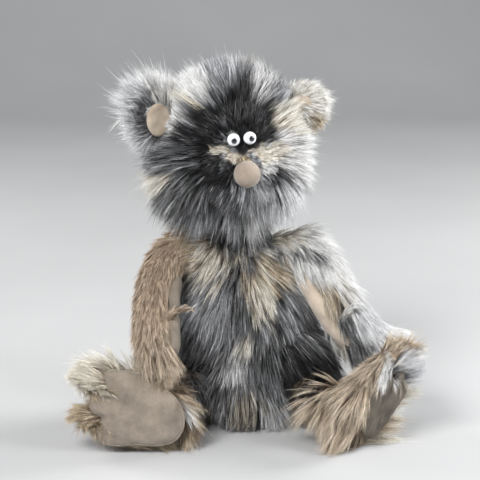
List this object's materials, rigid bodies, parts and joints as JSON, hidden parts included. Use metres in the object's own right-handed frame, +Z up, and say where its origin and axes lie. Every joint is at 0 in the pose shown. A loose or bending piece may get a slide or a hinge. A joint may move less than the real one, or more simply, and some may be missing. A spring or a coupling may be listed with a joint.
{
  "type": "stuffed toy animal",
  "caption": "Floppy long-pile plush toy animal sitting with splayed legs, with ball nose, suede palms and soles, and flexing head, ears, arms, legs and feet.",
  "frame": {"origin": "centre of the flat seat, on the surface the toy sits on", "axes": "+Z up, the toy faces -Y, its own left side is +X"},
  "size_m": [0.3034, 0.1924, 0.3407],
  "materials": {
    "grey_fur": "matte",
    "tan_fur": "matte",
    "suede": "matte",
    "fibre_filling": "matte",
    "pouch_cloth": "matte",
    "pellets": "matte",
    "eye_white": "gloss",
    "eye_black": "gloss",
    "washer_plastic": "matte"
  },
  "bodies": {
    "torso": {"torso_front_panel": "grey_fur", "torso_back_panel": "grey_fur", "torso_seat_panel": "grey_fur", "torso_stuffing": "fibre_filling", "seat_pouch": "pouch_cloth", "pouch_pellets": "pellets"},
    "neck": {"neck_cover": "grey_fur", "neck_stuffing": "fibre_filling"},
    "head": {"head_face_panel": "grey_fur", "head_back_panel": "grey_fur", "head_stuffing": "fibre_filling", "nose_cover": "suede", "nose_filling": "fibre_filling", "eye_right": "eye_white", "eye_left": "eye_white", "pupil_right": "eye_black", "pupil_left": "eye_black", "eye_washer_right": "washer_plastic", "eye_washer_left": "washer_plastic"},
    "ear_right": {"ear_right_back": "grey_fur", "ear_right_lining": "suede"},
    "ear_left": {"ear_left_back": "grey_fur", "ear_left_lining": "suede"},
    "arm_right": {"arm_right_sleeve": "tan_fur", "arm_right_palm": "suede", "arm_right_stuffing": "fibre_filling", "arm_right_thumb": "tan_fur"},
    "arm_left": {"arm_left_sleeve": "grey_fur", "arm_left_palm": "suede", "arm_left_stuffing": "fibre_filling", "arm_left_thumb": "grey_fur"},
    "leg_right": {"leg_right_sleeve": "tan_fur", "leg_right_stuffing": "fibre_filling"},
    "leg_left": {"leg_left_sleeve": "tan_fur", "leg_left_stuffing": "fibre_filling"},
    "foot_right": {"foot_right_upper": "tan_fur", "foot_right_sole": "suede", "foot_right_toes": "tan_fur", "foot_right_stuffing": "fibre_filling"},
    "foot_left": {"foot_left_upper": "tan_fur", "foot_left_sole": "suede", "foot_left_toes": "tan_fur", "foot_left_stuffing": "fibre_filling"}
  },
  "joints": [
    {"name": "neck_turn", "type": "hinge", "parent": "torso", "child": "neck", "pos_m": [-0.01, -0.002, 0.192], "axis": [0, 0, 1], "range_deg": [-50, 30]},
    {"name": "neck_nod", "type": "hinge", "parent": "neck", "child": "head", "pos_m": [-0.01, -0.002, 0.192], "axis": [0.9816, 0.1908, 0], "range_deg": [-12, 12]},
    {"name": "ear_right_fold", "type": "hinge", "parent": "head", "child": "ear_right", "pos_m": [-0.07956, -0.01658, 0.28882], "axis": [-0.0685, -0.0133, 0.9976], "range_deg": [-15, 15]},
    {"name": "ear_left_fold", "type": "hinge", "parent": "head", "child": "ear_left", "pos_m": [0.03599, 0.00588, 0.29705], "axis": [0.0685, 0.0133, -0.9976], "range_deg": [-15, 15]},
    {"name": "shoulder_right_raise", "type": "hinge", "parent": "torso", "child": "arm_right", "pos_m": [-0.044, -0.004, 0.166], "axis": [-0.8192, 0.5735, 0], "range_deg": [0, 50]},
    {"name": "shoulder_left_raise", "type": "hinge", "parent": "torso", "child": "arm_left", "pos_m": [0.044, -0.004, 0.164], "axis": [-0.3303, -0.9439, 0], "range_deg": [0, 70]},
    {"name": "hip_right_splay", "type": "hinge", "parent": "torso", "child": "leg_right", "pos_m": [-0.05, -0.022, 0.034], "axis": [0, 0, -1], "range_deg": [0, 25]},
    {"name": "hip_left_splay", "type": "hinge", "parent": "torso", "child": "leg_left", "pos_m": [0.05, -0.022, 0.034], "axis": [0, 0, 1], "range_deg": [-20, 0]},
    {"name": "ankle_right_flex", "type": "hinge", "parent": "leg_right", "child": "foot_right", "pos_m": [-0.086, -0.077, 0.04], "axis": [0, 0, -1], "range_deg": [-12, 12]},
    {"name": "ankle_left_flex", "type": "hinge", "parent": "leg_left", "child": "foot_left", "pos_m": [0.08064, -0.07859, 0.03625], "axis": [0.2962, 0.6822, -0.6685], "range_deg": [-4, 15]}
  ]
}
